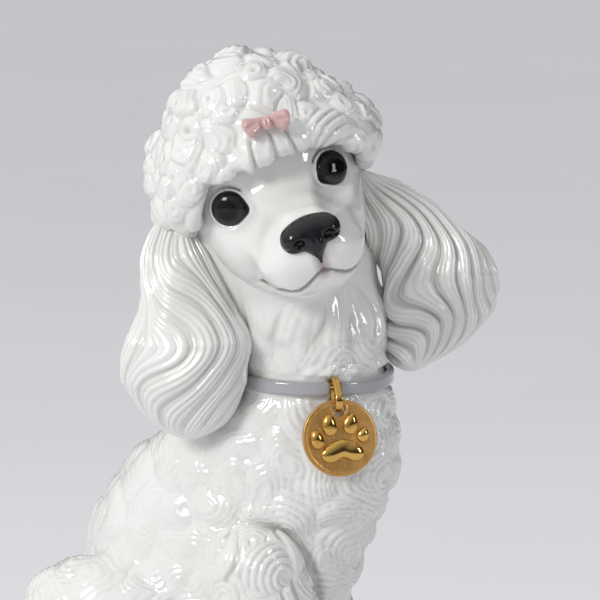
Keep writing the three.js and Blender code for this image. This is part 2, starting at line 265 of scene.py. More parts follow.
class Curls:
    """Locks of hair curled round their centres: each is a low dome with ridges that spiral round a point in
    it. Neighbours run into each other softly, or meet in a crease."""

    def __init__(self, centres, normals, radii, heights, seed, rings, ridges, pit, lean=0.2, soft=0.3,
                 crease=0.6, swell=0.7):
        rng = np.random.default_rng(seed)
        n = len(centres)
        self.centres = np.asarray(centres, float)
        self.radii, self.heights = np.asarray(radii), np.asarray(heights)
        normals = np.asarray(normals, float)
        around = np.cross(normals, rng.normal(size=(n, 3)))
        self.first = around / size(around)[:, None]
        self.second = np.cross(normals, self.first)
        self.spin = rng.choice([-1.0, 1.0], n)
        self.rings = rings * rng.uniform(0.85, 1.15, n)
        self.lean = lean * rng.uniform(0.3, 1.0, n)
        self.pit = pit * rng.uniform(0.1, 1.2, n)
        self.ridges, self.soft, self.crease, self.swell = ridges, soft, crease, swell

    def relief(self, p):
        """Each point's height, and how deep in a furrow it lies."""
        height, furrow = np.zeros(len(p)), np.zeros(len(p))
        for part in np.array_split(np.arange(len(p)), max(1, len(p) // 6000)):
            height[part], furrow[part] = self._relief(p[part])
        return height, furrow

    def _one(self, p, i, rho):
        """The relief of curl i at each point, which is rho radii from the curl's centre."""
        offset = p - self.centres[i]
        radius = self.radii[i]
        u = (offset * self.first[i]).sum(1) / radius - self.lean[i]
        v = (offset * self.second[i]).sum(1) / radius
        away, angle = np.hypot(u, v), np.arctan2(v, u)
        crest = ridge(2 * math.pi * self.rings[i] * away - self.spin[i] * angle, 0.75)
        band = smooth(0.08, 0.3, away) * smooth(1.25, 0.85, rho)
        eye = np.exp(-((away / 0.16) ** 2))
        dome = np.clip(1 - rho**2, 0, 1) ** self.swell
        scale = self.heights[i] / self.heights.max()
        height = self.heights[i] * dome + self.ridges * scale * band * crest - self.pit[i] * scale * eye
        return height, 0.75 * band * (1 - crest) * scale + 0.9 * eye * np.minimum(1.0, self.pit[i])

    def _relief(self, p):
        away = ((p[:, None] - self.centres) ** 2).sum(2) / self.radii**2
        nearest = np.argpartition(away, 1, axis=1)[:, :2]
        rows = np.arange(len(p))
        a, b = away[rows, nearest[:, 0]], away[rows, nearest[:, 1]]
        one, two = np.where(a < b, nearest.T, nearest.T[::-1])
        rho, other = np.sqrt(np.minimum(a, b)), np.sqrt(np.maximum(a, b))
        share = 0.5 + 0.5 * smooth(0.0, self.soft, other - rho)
        near, near_furrow = self._one(p, one, rho)
        far, far_furrow = self._one(p, two, other)
        fold = np.exp(-(((other - rho) / 0.13) ** 2)) * self.crease * smooth(1.3, 0.9, rho)
        height = share * near + (1 - share) * far - fold
        return height, np.clip(share * near_furrow + (1 - share) * far_furrow + 0.8 * fold, 0, 1)


def ways_round(count, rng=None, stray=0.0):
    """Directions spread evenly over a ball, each straying a little round its upright axis."""
    for i in range(count):
        z = 1 - 2 * (i + 0.5) / count
        a = i * GOLDEN_ANGLE + (rng.uniform(-stray, stray) if rng else 0)
        flat = math.sqrt(1 - z * z)
        yield np.array([flat * math.cos(a), flat * math.sin(a), z])


# ---------------------------------------------------------------- the torso and neck

# Rings from the base up: height, centre x and y, half width, half depth.
TORSO = np.array([
    [0, 0, 19, 42, 43], [8, 0, 20, 48, 49], [30, 0, 20, 50, 52], [60, 0, 18, 50, 54],
    [90, 0, 10, 47, 58], [110, 0, 3, 44, 60], [126, 0, -2, 41, 61], [139, 0, -10, 39, 60],
    [153, 0, -18, 37, 57], [164, 0, -26, 35, 48], [175, 0, -33, 33, 40], [187, 0, -40, 29.5, 29.5],
    [205, -3, -34, 29, 32], [222, -6, -28, 31, 36], [236, -9, -24, 32, 37], [262, -12, -20, 32, 36],
], float)


def smooth_rings():
    """The torso's rings at every millimetre of height, evened out."""
    heights = np.arange(-10.0, 275.0, 1.0)
    rings = np.stack([np.interp(heights, TORSO[:, 0], TORSO[:, i]) for i in range(1, 5)], 1)
    reach = 12
    weights = np.exp(-((np.arange(-reach, reach + 1) / 4.0) ** 2))
    padded = np.pad(rings, ((reach, reach), (0, 0)), mode="edge")
    soft = np.stack([np.convolve(padded[:, i], weights / weights.sum(), "valid") for i in range(4)], 1)
    return heights, soft


RING_HEIGHTS, RINGS = smooth_rings()


def ring_at(z):
    return [np.interp(z, RING_HEIGHTS, RINGS[:, i]) for i in range(4)]


def torso(p, inset=1.2):
    x0, y0, rx, ry = ring_at(p[:, 2])
    rx, ry = rx - inset, ry - inset
    dx, dy = (p[:, 0] - x0) / rx, (p[:, 1] - y0) / ry
    k = np.hypot(dx, dy)
    across = k * (k - 1) / np.maximum(np.hypot(dx / rx, dy / ry), 1e-4)
    base = soft_max(across, -p[:, 2], 5)
    return soft_max(base, p[:, 2] - 258, 24)


FORELEGS = {
    "right": [((-28, -30, 112), 21.5), ((-27, -42, 70), 19), ((-27, -47, 26), 18)],
    "left": [((26, -14, 107), 21), ((26, -26, 70), 19), ((25, -31, 26), 18)],
}
FOREPAWS = {"right": (-27, -58), "left": (25, -42)}
SIDES = {"right": -1, "left": 1}


def foreleg(p, name, inset=0.0):
    (a, ra), (b, rb), (c, rc) = FORELEGS[name]
    upper = taper(p, a, b, ra - inset, rb - inset)
    return soft_max(soft_min(upper, taper(p, b, c, rb - inset, rc - inset), 8), -p[:, 2] + 6, 4)


def haunch(p, side, inset=0.0):
    middle = (0, 0, 0)
    thigh = ellipsoid((p - (side * 44, 34, 64)) @ turned(0, -12), middle, np.array([25, 43, 49]) - inset)
    knee = ellipsoid((p - (side * 50, 4, 40)) @ turned(0, -20), middle, np.array([19, 22, 26]) - inset)
    return soft_max(soft_min(thigh, knee, 10), -p[:, 2] + 0.3, 3)


def body(p):
    whole = torso(p)
    for name, side in SIDES.items():
        whole = soft_min(whole, foreleg(p, name, 2.6), 7)
        whole = soft_min(whole, haunch(p, side, 2.8), 12)
    whole = soft_min(whole, ellipsoid(p, (11, -48, 208), (18.5, 18.5, 17)), 8)
    whole = soft_min(whole, ellipsoid(p, (8, -47, 229), (16, 16, 20)), 8)
    chin = face(HEAD.inside(p)) + 2.5
    whole = soft_min(whole, soft_max(chin, p[:, 2] - 250, 4), 9)
    whole = soft_max(whole, 10 - np.hypot(p[:, 0] - 18, p[:, 1] - 34) - np.maximum(p[:, 2] - 12, 0) * 9, 1)
    return soft_max(whole, -pocket(p), 0.6)


def pocket(p):
    """The slot behind the collar in which the bail turns."""
    q = BAIL.inside(p)
    along = np.clip(-q[:, 2], 0, BAIL_LENGTH)
    ring = np.hypot(q[:, 1], q[:, 2] + along) - (BAIL_INNER + BAIL_STRAP + 0.6)
    return np.maximum(ring, np.abs(q[:, 0]) - BAIL_WIDTH / 2 - 0.7)


def body_seeds():
    """Curl centres over the torso: staggered rows with a little disorder."""
    rng = np.random.default_rng(11)
    centres, radii, heights = [], [], []
    for row, z in enumerate(np.arange(14, 250, 13.5)):
        x0, y0, rx, ry = ring_at(z)
        count = max(8, int(round(math.pi * (rx + ry) / 16.0)))
        for i in range(count):
            a = 2 * math.pi * (i + 0.5 * (row % 2)) / count + rng.uniform(-0.12, 0.12)
            centres.append((x0 + rx * math.cos(a), y0 + ry * math.sin(a), z + rng.uniform(-3.5, 3.5)))
            front = 0.5 - 0.5 * math.sin(a)
            radii.append(rng.uniform(10.5, 14.5))
            heights.append(1.1 + 2.0 * front**1.6 + rng.uniform(-0.4, 0.6))
    centres, normals = settled(body, np.array(centres))
    return Curls(centres, normals, radii, heights, 12, rings=5.2, ridges=1.25, pit=0.3, lean=0.95, soft=0.6,
                 crease=0.2, swell=1.1)


def body_relief(p):
    """Curls over the torso, tufts on the neck, and a fold round the front of each foreleg's top. The curls
    are low behind the tag and stop at the collar, where the neck swells a little."""
    curl, furrow = BODY_CURLS.relief(stirred(p, 1.6, 21, (1, 2, 3)))
    q = NECK.inside(p)
    around = np.arctan2(q[:, 0], -q[:, 1])
    drift = around + 0.12 * ripple(p, 26, 7)
    tufts = ridge(13 * drift + 0.8 * np.sin(p[:, 2] / 6), 0.7)
    notch = ridge(p[:, 2] / 4.2 + 9 * drift, 0.8)
    low_down = smooth(232, 206, p[:, 2] + 6 * ripple(p, 30, 8))
    tuft_depth = low_down * (2.5 * tufts + 0.9 * notch + 0.5 * ridge(52 * drift, 0.9))
    neck = smooth(197, 209, p[:, 2]) * smooth(0.55, -0.1, -np.cos(around - 0.35))
    height = curl * (1 - neck) + tuft_depth * neck
    furrow = furrow * (1 - neck) + (1 - tufts) * neck * low_down * 0.8
    bare = smooth(3.2, 5.6, np.abs(q[:, 2])) * smooth(0, 10, p[:, 2])
    tag_room = 1 - 0.75 * np.exp(-((size(TAG.inside(p) - np.array([0, 0, -8])) / 17) ** 4))
    under_collar = 1.5 * smooth(5.0, 3.4, np.abs(q[:, 2]))
    upright = smooth(48, 62, p[:, 2]) * smooth(139, 128, p[:, 2])
    fold = np.zeros(len(p))
    for name, axis in FORELEGS.items():
        y = axis[0][0][1]
        ahead = smooth(y + 6, y - 12, p[:, 1])
        fold = np.maximum(fold, upright * ahead * np.exp(-(((foreleg(p, name) - 0.6) / 1.9) ** 2)))
    height = height * bare * tag_room + under_collar - 0.2 - 2.6 * fold
    return height, np.clip(furrow * bare + 0.9 * fold, 0, 1)


# ---------------------------------------------------------------- the head


def mirrored(q):
    return np.stack([np.abs(q[:, 0]), q[:, 1], q[:, 2]], 1)


def face(q):
    """The bare face in the head's frame: X to its left, -Y forward, Z up."""
    m = mirrored(q)
    skull = ellipsoid(q, (0, 18, 8), (33, 33, 32))
    mask = ellipsoid(q, (0, 10, -4), (34, 19.5, 26))
    cheek = ellipsoid(m, (14, 3, -15), (16.5, 21, 19))
    muzzle = taper(q * (0.92, 1, 1), (0, -3, -12), (0, -31, -19.5), 19, 14.3)
    lips = ellipsoid(m, (6.4, -27.6, -23.8), (13.4, 14, 11.8))
    jaw = taper(q * (0.56, 1, 1), (0, 8, -27), (0, -30.6, -31.6), 15, 8.5)
    whole = merge(8, skull, mask, cheek, muzzle)
    whole = merge(13, whole, lips)
    return soft_min(whole, jaw, 5)


# The left half of the mouth's line seen from in front, from under the nose to the corner: x and z.
MOUTH = [(0, -30.6), (2.4, -31.4), (5.2, -33.1), (8, -34.7), (10.8, -35.5), (14.1, -35.2), (17.8, -33),
         (21, -30)]
# The nose's bridge, wing and tip: centre and radii of each.
NOSE_PARTS = [((0, -43.2, -14), (10.6, 6.8, 5.9)), ((6.7, -44, -15.7), (5.2, 6.2, 5.0)),
              ((0, -45.4, -18.5), (4.3, 5.2, 4.6))]


def polyline(q, points, radius):
    return np.min([taper(q, a, b, radius, radius) for a, b in zip(points, points[1:])], axis=0)


def face_with_lids(p):
    q = HEAD.inside(p)
    whole = face(q)
    m = mirrored(q)
    lids = eye_place(1).inside(HEAD.outside(m))
    reach = almond(np.arctan2(lids[:, 2], lids[:, 0]), INNER_CORNER)
    beyond = np.hypot(lids[:, 0], lids[:, 2]) - reach
    socket = np.maximum(beyond - 0.4 + 0.9 * np.minimum(lids[:, 1], 0), lids[:, 1] - 1.0)
    whole = soft_max(whole, -socket, 4)
    ring = np.hypot(beyond - 0.35, lids[:, 1] + 0.1) - 0.5
    return soft_min(whole, ring, 1.6)


def nose(q):
    m = mirrored(q)
    parts = [ellipsoid(m, centre, radii) for centre, radii in NOSE_PARTS]
    whole = merge(2.6, *parts, taper(q, (0, -46, -20), (0, -44.6, -26.5), 3.0, 0.8))
    nostril = merge(1.0, ellipsoid(m, (6.1, -50, -17.2), (2.2, 3.0, 1.9)),
                    taper(m, (7, -49.4, -18.2), (11.4, -45.8, -18.6), 1.1, 0.6))
    whole = soft_max(whole, -nostril, 0.9)
    return soft_max(whole, -taper(q, (0, -51.2, -17), (0, -48.5, -30), 0.4, 0.4), 1.1)


EYE_AT, EYE_TURN = (21.4, -9.2, 0.7), (26, -4)
INNER_CORNER = math.radians(180 + 21)  # of the left eye, drawn in towards the nose and a little down


def almond(angle, inner):
    """How far the lid's edge lies from the eye's middle in each direction. The inner corner is drawn out."""
    away = np.abs((angle - inner + math.pi) % (2 * math.pi) - math.pi)
    return 6.85 * (1 + 0.03 * np.cos(angle) ** 2 + 0.19 * np.exp(-((away / 0.36) ** 2)))


def eye_place(side):
    """The frame of an eye: -Y looks out of it."""
    x, y, z = EYE_AT
    yaw, pitch = EYE_TURN
    return HEAD.child((side * x, y, z), turned(side * yaw, pitch))


def topknot(q, with_window=True):
    m = mirrored(q)
    crown = ellipsoid(q, (0, 16, 13), (43, 40, 33))
    crown = soft_min(crown, ellipsoid(q, (-3, 10, 33.5), (25, 27, 19)), 10)
    crown = soft_min(crown, ellipsoid(q, (3, 30, -4), (31, 22, 27)), 12)
    temple = ellipsoid(m, (33, 10, 8), (12, 19, 12.5))
    whole = soft_min(crown, temple, 9)
    hairline = (np.abs(q[:, 0] / 36) ** 3.2 + np.abs((q[:, 2] + 16) / 30) ** 3.2) ** (1 / 3.2)
    window = np.maximum((hairline - 1) * 27, q[:, 1] - 14)
    if not with_window:
        return whole
    whole = soft_max(whole, -window, 5)
    under = ellipsoid(q, (0, 20, -4), (27, 30, 34))
    return soft_max(whole, -under, 3)


# Curl centres on the front of the topknot, in the head's frame: x, z and radius.
FRONT_CURLS = [(-4, 43, 6.5), (-33, 38, 7), (-18, 31, 8), (-43, 21, 7), (-12.5, 42, 6), (18, 38, 8),
               (21, 27, 5.5), (44, 14, 6), (31, 33, 6.5), (0, 53, 7.5), (14.5, 50, 7), (-31, 28, 7.5),
               (-33, 12, 7), (36, 23, 6.5), (-12, 52, 7), (-24, 20, 6.5), (-44, 7, 6.5), (45, 0, 6),
               (-38, -6, 7), (38, -8, 7), (-24, 44, 6.5)]


def topknot_seeds():
    """The curls placed on the front of the topknot, and others wherever there is room between them."""
    rng = np.random.default_rng(5)
    middle, radii = np.array([0, 16, 17.0]), np.array([45, 41, 37.0])
    centres, sizes = [], []
    for x, z, r in FRONT_CURLS:
        u = np.array([x / radii[0], 0, (z - 17) / radii[2]])
        u[1] = -math.sqrt(max(0.02, 1 - u @ u))
        centres.append(middle + radii * u)
        sizes.append(r * 1.2)
    for way in ways_round(200, rng, 0.15):
        spot = middle + radii * way
        tufts = abs(spot[0]) < 13 and spot[1] < -10 and spot[2] < 27
        radius = rng.uniform(6.2, 11.5)
        if not tufts and np.min(size(np.array(centres) - spot)) > 0.95 * radius:
            centres.append(spot)
            sizes.append(radius)
    centres, normals = settled(lambda q: topknot(q, False), np.array(centres))
    heights = np.array(sizes) * rng.uniform(0.2, 0.46, len(sizes))
    return Curls(centres, normals, sizes, heights, 8, rings=3.3, ridges=0.95, pit=1.0, lean=0.42, soft=0.5,
                 crease=0.45)


def topknot_relief(p):
    """Curls all over, straight locks in a fringe under the bow, and a lock that sweeps over one eye."""
    q = HEAD.inside(p)
    curl, furrow = TOPKNOT_CURLS.relief(stirred(q, 1.3, 17, (4, 5, 6)))
    fan = (q[:, 0] - 1.5) / (1 + 0.035 * (22 - q[:, 2]))
    fan = fan + 0.9 * np.sin(0.9 * fan + 1.0) + 0.7 * np.sin(q[:, 2] / 4 + 0.5 * fan)
    strand = ridge(2 * math.pi * (fan + 3.3) / 6.6, 0.8)
    fine = ridge(2 * math.pi * fan / 1.65, 0.8)
    fringe = smooth(15, 11, np.abs(q[:, 0] - 1)) * smooth(-6, -14, q[:, 1]) * smooth(27, 21, q[:, 2])
    height = curl * (1 - fringe) + fringe * (2.2 * strand + 0.4 * fine + 0.2) + 1.4 * ripple(q, 30, 9)
    furrow = furrow * (1 - fringe) + fringe * (1 - strand) * 0.9
    round_eye = np.hypot(q[:, 0] - 20, q[:, 2] + 1)
    turn = np.arctan2(q[:, 2] + 1, q[:, 0] - 20)
    arc = ridge(14 * turn + 1.8 * round_eye + 1.1 * np.sin(4 * turn + round_eye / 3), 0.75)
    sweep = smooth(27, 23, round_eye) * smooth(-8, -16, q[:, 1])
    sweep = sweep * smooth(6, 9, q[:, 0]) * smooth(1.9, 1.6, turn)
    swell = np.clip(1 - ((round_eye - 18.5) / 9) ** 2, 0, 1)
    height = height * (1 - sweep) + sweep * (2.6 * swell + 1.1 * arc)
    furrow = furrow * (1 - sweep) + sweep * (1 - arc) * 0.95
    hidden = smooth(0, 2.5, face(q) + 3)
    return height * hidden, furrow * hidden


# ---------------------------------------------------------------- ears


def curve_at(points, t):
    """A smooth curve through points, and its direction."""
    points = np.asarray(points, float)
    padded = np.vstack([2 * points[0] - points[1], points, 2 * points[-1] - points[-2]])
    place = np.clip(t, 0, 1) * (len(points) - 1)
    i = np.minimum(place.astype(int), len(points) - 2)
    f = (place - i)[:, None]
    a, b, c, d = padded[i], padded[i + 1], padded[i + 2], padded[i + 3]
    bend, twist = 2 * a - 5 * b + 4 * c - d, 3 * b - a - 3 * c + d
    where = 0.5 * (2 * b + (c - a) * f + bend * f**2 + twist * f**3)
    way = 0.5 * ((c - a) + 2 * bend * f + 3 * twist * f**2)
    return where, way / size(way)[:, None]


# Each ear: its spine from the root down, the way its width runs, its half width and half depth along the
# spine, how far its locks swing to and fro, where their waves start and how deep they are.
EARS = {
    "right": dict(
        path=[(-40, 2, 256), (-41, -5, 232), (-43, -9, 212), (-44, -8, 193), (-43, -9, 165)],
        across=(0.5, -0.866, 0), widths=[9, 14, 19, 24, 26, 22], depths=[8, 13, 16, 18, 18, 15],
        sweep=0.5, phase=0.4, lock_depth=2.2),
    "left": dict(
        path=[(6, -58, 270), (19, -70, 250), (27, -80, 231), (28, -84, 212), (18, -77, 189)],
        across=(0.56, -0.8, 0.2), widths=[8, 15, 20, 23, 22, 17], depths=[8, 12, 15, 17, 16, 12],
        sweep=-0.6, phase=2.0, lock_depth=3.4),
}


def ear_piece(name, path, across, widths, depths, sweep, phase, lock_depth):
    """A long ear of wavy locks, modelled along its curved spine."""
    rows, columns = int(230 / COARSE), int(380 / COARSE)
    polar = np.linspace(0, math.pi, rows + 1)[1:-1]
    t = (1 - np.cos(polar)) / 2
    z = np.cos(polar)
    end = np.maximum(0, np.abs(z) - 0.5) / 0.5
    full = np.sqrt(np.clip(1 - end**2, 0, 1))
    spine, along = curve_at(path, t)
    side = np.array(across) / np.linalg.norm(across)
    deep = np.cross(side, along)
    deep /= size(deep)[:, None]
    steps = np.linspace(0, 1, len(widths))
    width, depth = np.interp(t, steps, widths) * full, np.interp(t, steps, depths) * full
    angle = np.arange(columns) * 2 * math.pi / columns
    a, s = np.meshgrid(angle, t)
    swing = sweep * np.sin(2 * math.pi * (1.15 * s + 0.05))
    swirl = a + swing + 0.22 * np.sin(2 * a + phase) + 0.5 * sweep * s
    lock_phase = 14 * swirl + 1.1 * np.sin(3 * a + 5 * s) + 0.3 * np.sin(5 * a - 9 * s + phase)
    lock = ridge(lock_phase, 0.6)
    strand = ridge(4 * lock_phase + 1.5 * np.sin(9 * s + a), 0.8)
    uneven = 0.75 + 0.25 * np.sin(2 * a + 6 * s + phase) + 0.2 * np.sin(5 * a + 13 * s)
    lump = np.sin(2 * math.pi * 2.1 * s + 1.5 * np.sin(a + phase))
    fade = smooth(0.0, 0.12, s) * smooth(1.0, 0.93, s)
    rise = -2.0 + fade * (lock_depth * lock * uneven + 0.9 * strand + 1.2 * lump)
    radial_x, radial_y = np.cos(a), np.sin(a)
    px = radial_x * (width[:, None] + rise * np.clip(full[:, None], 0.2, 1))
    py = radial_y * (depth[:, None] + rise * np.clip(full[:, None], 0.2, 1))
    points = spine[:, None] + px[..., None] * side + py[..., None] * deep[:, None]
    points = points.reshape(-1, 3)
    furrow = np.clip((1 - lock) * 0.27 * lock_depth + 0.3 * (1 - strand), 0, 1) * fade
    poles, _ = curve_at(path, np.array([0.0, 1.0]))
    count = rows - 1
    i, j = np.meshgrid(np.arange(count - 1), np.arange(columns), indexing="ij")
    k = (j + 1) % columns
    upper, lower = i * columns, (i + 1) * columns
    quads = np.stack([upper + j, upper + k, lower + k, lower + j], -1).reshape(-1, 4)
    top, bottom = len(points), len(points) + 1
    ring = np.arange(columns)
    after = (ring + 1) % columns
    last = (count - 1) * columns
    caps = [(top, after, ring), (bottom, last + ring, last + after)]
    tris = np.concatenate([np.stack([np.full(columns, pole), m, n], 1) for pole, m, n in caps])
    points = np.vstack([points, poles])
    furrow = np.append(furrow.ravel(), [0, 0])
    # The ear's furrow depth is kept so the glaze can paint shade between its locks.
    return closed_piece("ear_" + name + "_locks", points, quads, tris, {"hollow": furrow})


def closed_piece(name, points, quads, tris, marks):
    """A closed piece of quads with triangle caps, turned so that it faces out."""
    corners = points[quads]
    facing = np.cross(corners[:, 1] - corners[:, 0], corners[:, 2] - corners[:, 0])
    volume = np.einsum("ij,ij->", facing, corners[:, 0] - points.mean(0))
    if volume < 0:
        quads, tris = quads[:, ::-1], tris[:, ::-1]
    return mesh_piece(name, points, marks, quads, tris)


# ---------------------------------------------------------------- legs, haunches and tail


def leg_relief(name):
    """Long waved locks down a foreleg, under a few curls at its top."""
    (a, _), (b, _), (c, _) = FORELEGS[name]
    x, y = a[:2]
    spots = np.array([(x - 12, y - 12, 116), (x + 4, y - 19, 106), (x - 19, y + 2, 101)], float)
    spots, normals = settled(lambda p: foreleg(p, name, 1.4), spots)
    curls = Curls(spots, normals, [11, 8.5, 9.5], [1.9, 1.5, 1.6], 21, rings=3.8, ridges=0.9, pit=0.4,
                  lean=0.8)

    def relief(p):
        x0, y0 = (np.interp(p[:, 2], (c[2], b[2], a[2]), (c[i], b[i], a[i])) for i in (0, 1))
        around = np.arctan2(p[:, 0] - x0, -(p[:, 1] - y0))
        wave = 1.2 * np.sin(p[:, 2] / 8.5 + 2 * around) + 0.6 * np.sin(p[:, 2] / 3.9 + 5 * around)
        lock = ridge(14 * around + wave + 0.8 * ripple(p, 24, 22), 0.7)
        strand = ridge(42 * around + 3 * wave, 0.8)
        curl, curl_furrow = curls.relief(p)
        from_curl = [size(p - centre) - radius for centre, radius in zip(curls.centres, curls.radii)]
        in_curl = smooth(1.0, -1.0, np.min(from_curl, axis=0))
        fade = smooth(4, 14, p[:, 2])
        locks = fade * (1.4 * lock + 0.5 * strand + 0.7 * ripple(p, 30, 23))
        height = locks * (1 - in_curl) + curl * in_curl - 0.4
        return height, np.clip((1 - lock) * fade * (1 - in_curl) + curl_furrow * in_curl, 0, 1)

    return relief


def haunch_relief(side):
    """Low swirls of short fur over the thigh."""
    rng = np.random.default_rng(50 + side)
    middle, reach = np.array([side * 44, 34, 62.0]), np.array([25, 43, 49.0])
    count = 70
    centres = np.array([middle + reach * way for way in ways_round(count, rng, 0.2)])
    centres, normals = settled(lambda p: haunch(p, side, 1.0), centres)
    curls = Curls(centres, normals, rng.uniform(11, 15, count), rng.uniform(1.1, 2.0, count), 60 + side,
                  rings=4.8, ridges=0.8, pit=0.1, lean=0.95, soft=0.6, crease=0.15, swell=1.1)

    def relief(p):
        height, furrow = curls.relief(stirred(p, 1.6, 21, (1, 2, 3)))
        fade = smooth(1, 9, p[:, 2])
        return height * fade - 0.5, furrow * fade

    return relief


def paw(x, y, palm, toe_reach):
    """The field of a palm with four toes ahead of it, cut off at the ground."""
    def field(p):
        whole = palm(p)
        for out in (-9, -3.1, 3.1, 9):
            centre = (x + out, y - toe_reach + abs(out) / 3, 6)
            whole = soft_min(whole, ellipsoid(p, centre, (4.2, 9, 8)), 1.6)
        return soft_max(whole, -p[:, 2], 1.5)

    return field


def forepaw(name):
    x, y = FOREPAWS[name]
    return paw(x, y, lambda p: ellipsoid(p, (x, y, 5), (14, 17, 11)), 12)


def hindpaw(side):
    x = side * 54

    def palm(p):
        sole = taper(p, (x, 13, 5), (x, -22, 4), 10.2, 11.6)
        return soft_min(sole, ellipsoid(p, (x, -3, 11), (10.5, 21, 11)), 6)

    return paw(x, 0, palm, 34)


TAIL = [((5, 62, 21), 9), ((20, 80, 13), 8.5), ((31, 88, 14), 8)]
POMPOM_AT, POMPOM_RADII = (43, 93, 17), (17, 16, 16.3)


def tail(p):
    (a, ra), (b, rb), (c, rc) = TAIL
    return soft_max(soft_min(taper(p, a, b, ra, rb), taper(p, b, c, rb, rc), 6), -p[:, 2] + 0.3, 2)


def pompom(p):
    return soft_max(ellipsoid(p, POMPOM_AT, POMPOM_RADII), -p[:, 2] + 0.5, 3)


def pompom_curls():
    """Curls of one size spread evenly over the pompom."""
    count = 22
    normals = np.array(list(ways_round(count)))
    centres = np.array(POMPOM_AT) + np.array(POMPOM_RADII) * normals
    return Curls(centres, normals, [7.5] * count, [1.6] * count, 41, rings=2.0, ridges=0.9, pit=0.8)


def tail_relief(p):
    """Slanting locks."""
    lock = ridge(2 * math.pi * (p[:, 0] - 0.6 * p[:, 1] + 2 * np.sin(p[:, 2] / 5)) / 7.5, 0.8)
    return 0.8 * lock - 0.2, (1 - lock) * 0.6


# ---------------------------------------------------------------- bow, collar, bail and tag


def bow_loop(side):
    def field(p):
        q = BOW.inside(p)
        m = (q - (side * 5.0, 0, 0.5)) @ turned(0, 0, side * 20)
        flare = taper(m * (1, 1.5, 1), (-side * 3.6, 0, -0.2), (side * 1.6, 0, 0.1), 1.7, 4.3)
        loop = soft_max(flare, side * m[:, 0] - 4.1 + 0.05 * m[:, 2] ** 2, 1.2)
        dimple = ellipsoid(m, (side * 0.4, -3.3, 0.1), (3.0, 1.6, 1.1))
        return soft_max(loop, -dimple, 1.2)

    return field


def bow_knot(p):
    q = BOW.inside(p)
    knot = ellipsoid(q, (0, -1.0, 0), (2.1, 2.6, 2.7))
    tuck = ellipsoid(q, (0, -3.8, 0.2), (0.45, 0.9, 2.0))
    return soft_max(knot, -tuck, 0.8)


def collar(p):
    q = NECK.inside(p)
    radial = np.hypot(q[:, 0], q[:, 1]) - COLLAR_RADIUS
    band = np.hypot(np.maximum(np.abs(radial) - 0.25, 0), np.maximum(np.abs(q[:, 2]) - 1.45, 0)) - 1.45
    return soft_max(band, -pocket(p), 0.6)


def bail(p):
    q = BAIL.inside(p)
    along = np.clip(-q[:, 2], 0, BAIL_LENGTH)
    ring = np.hypot(q[:, 1], q[:, 2] + along) - (BAIL_INNER + BAIL_STRAP / 2)
    return rounded_slab(np.abs(ring) - BAIL_STRAP / 2, q[:, 0], BAIL_WIDTH / 2, 0.55)


def rounded_slab(flat, thick, half, edge):
    """An outline given by its flat distance, made half thick each way, with rounded edges."""
    section = np.stack([flat + edge, np.abs(thick) - half + edge], 1)
    return size(np.maximum(section, 0)) + np.minimum(section.max(1), 0) - edge


def tag_disc(p):
    q = TAG.inside(p)
    c = q - TAG_CENTRE
    out = np.hypot(c[:, 0], c[:, 2]) - TAG_RADIUS
    plate = rounded_slab(out, q[:, 1], TAG_THICKNESS / 2 - 0.12, 0.4)
    rim = np.hypot(out + 0.9, q[:, 1]) - 0.9
    hole = np.hypot(q[:, 0], q[:, 2])
    lip = np.hypot(hole - TAG_HOLE - 0.55, q[:, 1]) - 0.88
    whole = soft_min(soft_min(plate, rim, 0.35), lip, 0.3)
    return soft_max(whole, TAG_HOLE - hole, 0.2)


# The paw print's pad and toes, from the tag's centre: x, z, half width, half height and turn. The pad takes
# its width and height from its lobes.
PRINT = {
    "tag_pad": (0.8, -5.2, 8.6, 4.4, 0),
    "tag_toe_1": (-9.4, -0.2, 2.8, 4.0, 14),
    "tag_toe_2": (-4, 5.2, 3.1, 4.5, 6),
    "tag_toe_3": (4.6, 5.4, 3.1, 4.5, -8),
    "tag_toe_4": (9.4, 0.8, 2.5, 3.1, -20),
}
DOME_RISE = 1.6
PAD_LOBES = [((0, 0, 1.0), (6.4, DOME_RISE, 3.5)), ((-5.0, 0, -1.4), (3.8, DOME_RISE, 3.1)),
             ((5.0, 0, -1.2), (3.7, DOME_RISE, 3.0))]


def print_dome(name):
    """One raised pad of the paw print, a polished dome that stands on the tag's face."""
    x, z, wide, tall, turn = PRINT[name]

    def field(p):
        q = (TAG.inside(p) - TAG_CENTRE - (x, -TAG_THICKNESS / 2, z)) @ turned(0, 0, -turn)
        if name == "tag_pad":
            whole = merge(2.0, *(ellipsoid(q, centre, radii) for centre, radii in PAD_LOBES))
        else:
            whole = merge(1.5, ellipsoid(q, (0, 0, -0.2 * tall), (wide, DOME_RISE, 0.8 * tall)),
                          ellipsoid(q, (0, 0, 0.35 * tall), (0.62 * wide, 0.9 * DOME_RISE, 0.62 * tall)))
        return soft_max(whole, q[:, 1] - 0.3, 0.3)

    return field


# ---------------------------------------------------------------- eyes


